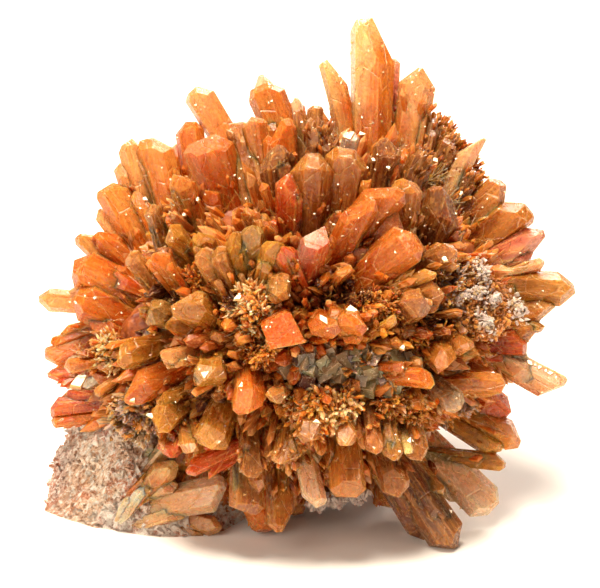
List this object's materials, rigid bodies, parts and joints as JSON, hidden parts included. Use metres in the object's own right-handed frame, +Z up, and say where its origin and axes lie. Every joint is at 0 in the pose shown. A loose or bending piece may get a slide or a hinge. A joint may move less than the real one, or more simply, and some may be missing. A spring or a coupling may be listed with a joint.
{
  "type": "creedite crystal cluster",
  "caption": "Ball of orange creedite blades radiating from its heart, with patches of white druse and a band of grey cubes, seated on a wedge of pale matrix rock.",
  "frame": {"origin": "middle of the bounding box in plan, at the level that the cluster stands on", "axes": "+X to the right across the show face, +Y away from the onlooker, +Z up"},
  "size_m": [0.07, 0.0546, 0.0629],
  "materials": {
    "creedite": "glassy, clouded",
    "matrix": "rough, granular",
    "white_druse": "sugary",
    "grey_cubes": "glassy, dull"
  },
  "bodies": {
    "root": {"creedite_ball": "creedite", "side_spray": "creedite", "matrix_rock": "matrix", "white_druse_side": "white_druse", "white_druse_under": "white_druse", "grey_cube_band": "grey_cubes"}
  },
  "joints": []
}
